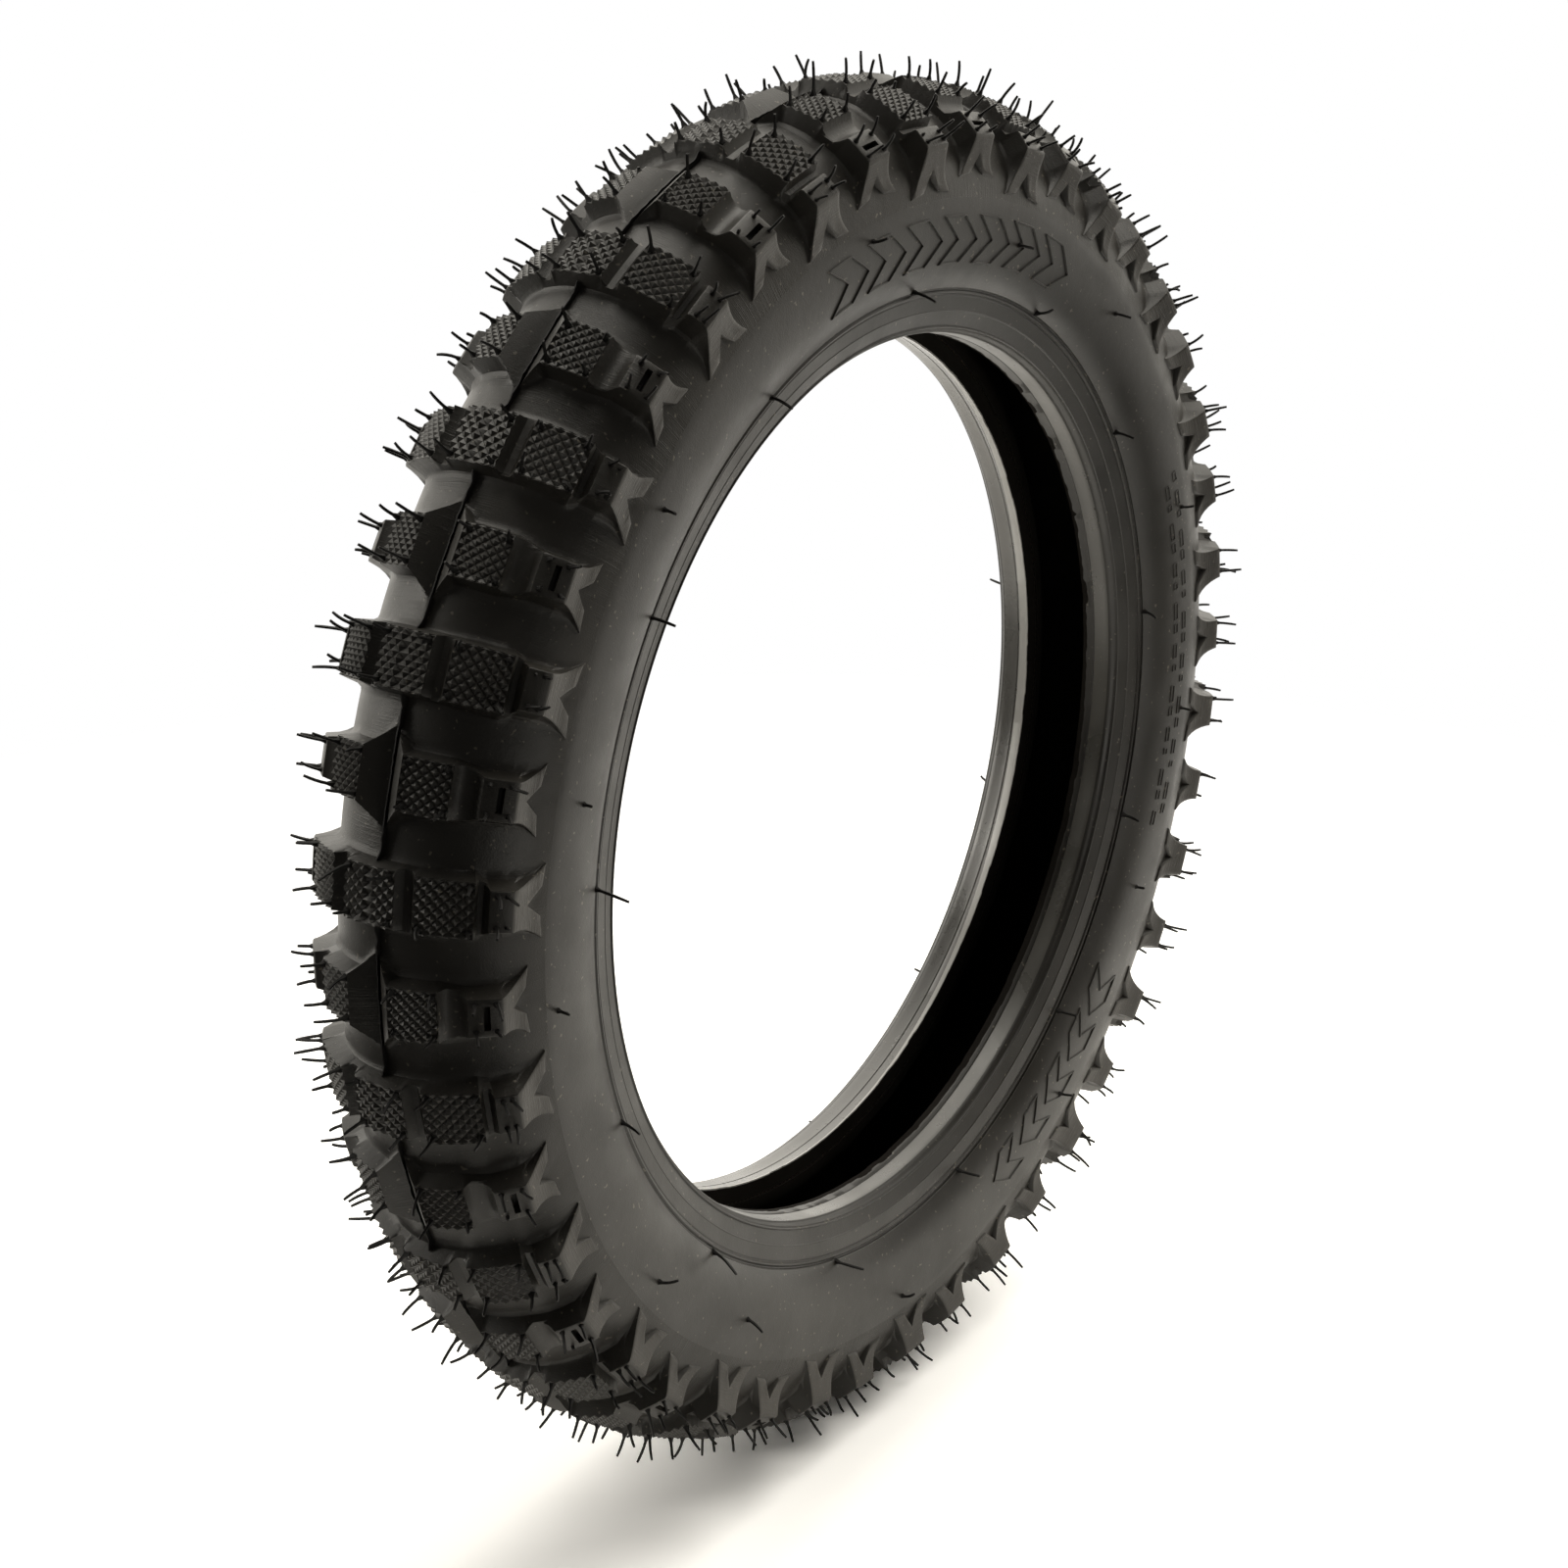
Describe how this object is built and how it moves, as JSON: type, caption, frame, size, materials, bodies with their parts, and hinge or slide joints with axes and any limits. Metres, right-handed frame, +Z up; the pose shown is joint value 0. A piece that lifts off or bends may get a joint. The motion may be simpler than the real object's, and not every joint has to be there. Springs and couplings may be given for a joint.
{
  "type": "motorcycle tire",
  "caption": "Narrow knobby motorcycle tire for a small rim, tube type, with knobs in staggered rows, layered nylon plies and wire beads.",
  "frame": {"origin": "the wheel's centre: on the axle's line, midway between the two sidewalls", "axes": "+Y along the axle towards the left side, +Z up, +X forwards; the tire stands on z = -0.1938"},
  "size_m": [0.3866, 0.0628, 0.3876],
  "materials": {
    "tread_rubber": "moulded black rubber, satin",
    "sidewall_rubber": "moulded black rubber, satin with fine dust",
    "chafer_cloth": "rubber-coated chafer cloth, matt",
    "nylon_cord": "rubber-coated nylon cord, matt",
    "liner_rubber": "smooth black rubber",
    "filler_rubber": "hard black rubber, matt",
    "wrap_cloth": "rubber-coated square-woven cloth",
    "bead_wire": "bronze-coated steel wire"
  },
  "bodies": {
    "root": {"tread": "tread_rubber", "outer_ply": "nylon_cord", "inner_ply": "nylon_cord", "inner_liner": "liner_rubber", "sidewall_left": "sidewall_rubber", "chafer_left": "chafer_cloth", "bead_filler_left": "filler_rubber", "bead_wrap_left": "wrap_cloth", "bead_wire_left_1": "bead_wire", "bead_wire_left_2": "bead_wire", "bead_wire_left_3": "bead_wire", "bead_wire_left_4": "bead_wire", "sidewall_right": "sidewall_rubber", "chafer_right": "chafer_cloth", "bead_filler_right": "filler_rubber", "bead_wrap_right": "wrap_cloth", "bead_wire_right_1": "bead_wire", "bead_wire_right_2": "bead_wire", "bead_wire_right_3": "bead_wire", "bead_wire_right_4": "bead_wire"}
  },
  "joints": []
}
